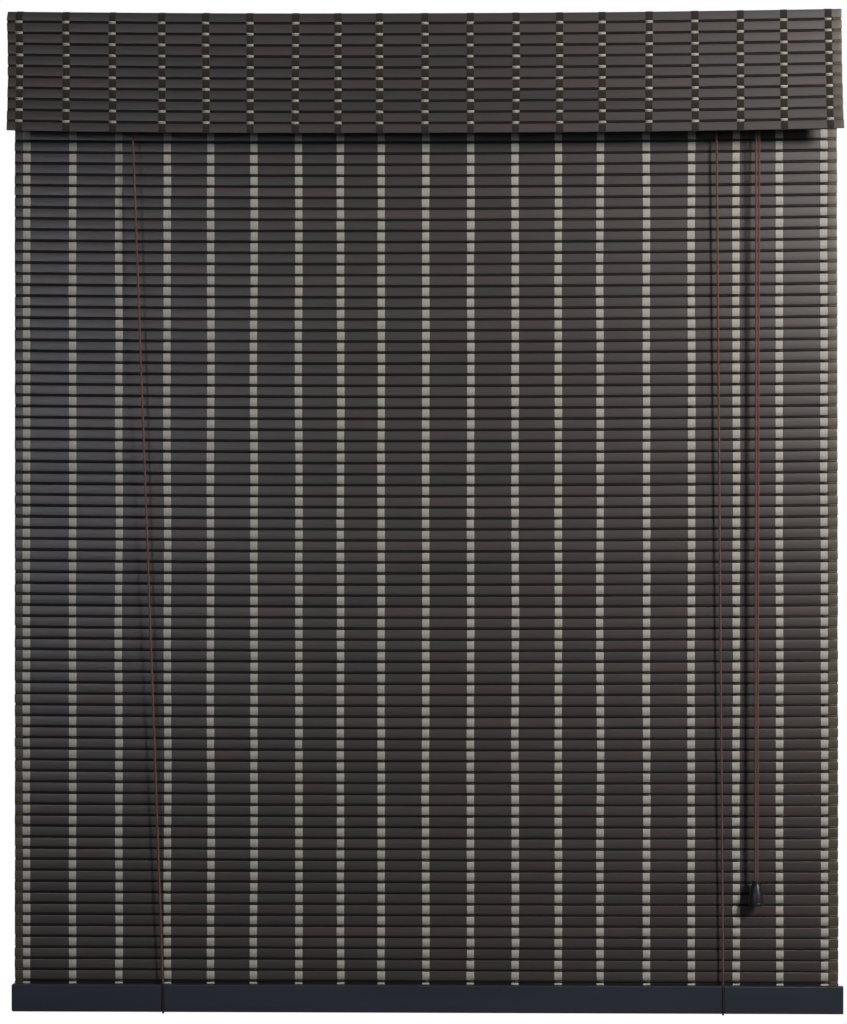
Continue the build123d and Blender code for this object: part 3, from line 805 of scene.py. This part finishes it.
hem = Parts()
z_hem = Z_HINGE - 2 * PITCH * N_LINKS
for k in range(2):
    c = (Y_BACK, z_hem - PITCH * (k + 0.5))
    # The top hem slat, whose sliver shows just above the bar, takes the near-black rod material: painted shade for the
    # dark line above the bottom bar.
    slat = add_slat(hem, c, DOWN, slot=ROD if k == 0 else SLAT)
    add_rod(hem, c, DOWN, -PITCH / 2)
    add_tapes(hem, slat, c, DOWN, last=5.0 if k else None)
hem_fabric = hem.make("hem_fabric", MAT_SLOTS, sag)
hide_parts("hem_slats")
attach(hem_fabric, "hem")

# ------------------------------------------------------------------ lift cords
Z_CUT = -128.0
for side, x_top, x_hem, y_lock in (("left", XL_TOP, XL_HEM, Y_CORD_L), ("right", XR_TOP, XR_HEM, Y_CORD_R)):
    f_cut = (Z_RUN - Z_CUT) / (Z_RUN - BAR_TOP)
    cut = (x_top + (x_hem - x_top) * f_cut, y_lock + (Y_GROOVE - y_lock) * f_cut, Z_CUT)
    line = nurbs_points("lift_top_" + side, [
        (X_LOCK, y_lock, -42.0), (X_LOCK, y_lock, -28.5), (X_LOCK, y_lock, Z_RUN), (X_LOCK - 12, y_lock, Z_RUN), (x_top + 60, y_lock, Z_RUN - 0.5), (x_top + 12, y_lock, Z_RUN),
        (x_top, y_lock, Z_RUN), (x_top + 0.05, y_lock, -28.5), cut])
    v, f, al, ar = tube_mesh(line / MM, CORD_R, 12)
    ob = make_mesh("lift_cord_%s_top" % side, v, outward(v, f), [M_CORD], attrs=cord_attrs(al, ar))
    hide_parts("lift_cord_" + side)
    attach(ob, "headrail_assembly")

    foot = (x_hem, Y_GROOVE, BAR_TOP + 0.5)
    t = np.linspace(0, 1, 60)[:, None]
    P = np.array(cut) + t * (np.array(foot) - np.array(cut))
    v, f, al, ar = tube_mesh(P, CORD_R, 12)
    ob = make_mesh("lift_cord_%s_front" % side, v, outward(v, f), [M_CORD], attrs=cord_attrs(al, ar))
    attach(ob, "headrail_assembly")
    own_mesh(ob)

    line = nurbs_points("lift_hem_" + side, [
        (x_hem, lift_y(-1132.0), -1132.0), (x_hem, Y_UNDER_B, -1142.0), (x_hem, Y_UNDER_B, -1162.0), (x_hem, Y_UNDER_B, -1170.3), (x_hem, 7.0, -1170.3), (x_hem, -3.0, -1170.3),
        (x_hem, Y_GROOVE, -1170.3), (x_hem, Y_GROOVE, -1162.0), (x_hem, Y_GROOVE, -1145.0), (x_hem, Y_GROOVE, BAR_TOP + 0.5)])
    v, f, al, ar = tube_mesh(line / MM, CORD_R, 12)
    # This cord takes the darkened cord material: painted shade for its run in the bar's groove.
    ob = make_mesh("lift_cord_%s_hem" % side, v, outward(v, f), [M_CORD_GROOVE_SHADE], attrs=cord_attrs(al, ar))
    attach(ob, "hem")

# ------------------------------------------------------------------ CAD parts that stay
FINISH = {
    "headrail": M_TIMBER, "bottom_batten": M_TIMBER, "bottom_bar": M_PAINT, "staples": M_ZINC, "hardware_screws": M_ZINC, "rail_screws": M_ZINC,
    "pulley_housings": M_ZINC, "cord_lock_body": M_ZINC, "cord_lock_cam": M_ZINC, "axle_pins": M_PIN,
    "pulley_wheel_left": M_NYLON, "pulley_wheel_right": M_NYLON, "cord_lock_wheel": M_NYLON,
}
for name, mat in FINISH.items():
    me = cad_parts[name].data
    if not me.materials:
        me.materials.append(mat)
    for i in range(len(me.materials)):
        me.materials[i] = mat

# ------------------------------------------------------------------ room and light
def plain(name, colour, glow=0.0):
    m = Mat(name)
    obj = m.n("ShaderNodeTexCoord").outputs["Object"]
    n = m.noise(obj, (3, 3, 3), 2, 0.5)
    c = tuple(colour)
    m.link(m.ramp(n, [(0.3, tuple(x * 0.985 for x in c)), (0.7, c)]), m.b.inputs["Base Color"])
    m.set(Roughness=0.8)
    if glow:
        m.b.inputs["Emission Color"].default_value = (1, 1, 1, 1)
        m.b.inputs["Emission Strength"].default_value = glow
    return m.m


def board(name, corners, mat):
    me = bpy.data.meshes.new(name)
    me.from_pydata(corners, [], [(0, 1, 2, 3)])
    me.materials.append(mat)
    ob = bpy.data.objects.new(name, me)
    scene.collection.objects.link(ob)
    return ob


FLOOR_Z, ROOF_Z, SIDE = -3.6, 8.6, 9.0
WALL = plain("white_wall", (0.8, 0.8, 0.8), 0.95)


def wall(name, x0, y0, x1, y1):
    return board(name, [(x0, y0, FLOOR_Z), (x1, y1, FLOOR_Z), (x1, y1, ROOF_Z), (x0, y0, ROOF_Z)], WALL)


floor = board("studio_floor", [(-SIDE, -SIDE, FLOOR_Z), (SIDE, -SIDE, FLOOR_Z), (SIDE, SIDE, FLOOR_Z), (-SIDE, SIDE, FLOOR_Z)], plain("pale_floor", (0.78, 0.78, 0.78), 0.45))
wall("studio_wall", -SIDE, SIDE, SIDE, SIDE)
others = [wall("studio_wall_front", SIDE, -SIDE, -SIDE, -SIDE), wall("studio_wall_left", -SIDE, -SIDE, -SIDE, SIDE), wall("studio_wall_right", SIDE, SIDE, SIDE, -SIDE),
          board("studio_ceiling", [(-SIDE, -SIDE, ROOF_Z), (-SIDE, SIDE, ROOF_Z), (SIDE, SIDE, ROOF_Z), (SIDE, -SIDE, ROOF_Z)], WALL)]
for ob in others + [floor]:               # pale to look at, and they add no light of their own
    ob.visible_diffuse = ob.visible_glossy = ob.visible_shadow = False

world = bpy.data.worlds.new("studio")
scene.world = world
world.use_nodes = True
world.node_tree.nodes["Background"].inputs["Color"].default_value = (1, 1, 1, 1)
world.node_tree.nodes["Background"].inputs["Strength"].default_value = 0.05


def softbox(name, at, aim, size, power, tint=(1, 1, 1)):
    li = bpy.data.lights.new(name, "AREA")
    li.shape = "RECTANGLE"
    li.size, li.size_y = size
    li.energy = power
    li.color = tint
    ob = bpy.data.objects.new(name, li)
    scene.collection.objects.link(ob)
    ob.location = at
    ob.rotation_euler = (Vector(aim) - Vector(at)).to_track_quat("-Z", "Y").to_euler()
    return ob


softbox("softbox_right", (1.55, -1.62, 0.25), (0.1, 0, -0.45), (0.42, 0.60), 47, (1.0, 0.955, 0.925))
softbox("softbox_left", (-1.15, -2.70, -0.30), (-0.1, 0, -0.45), (0.42, 0.60), 7.8, (0.87, 0.965, 1.10))
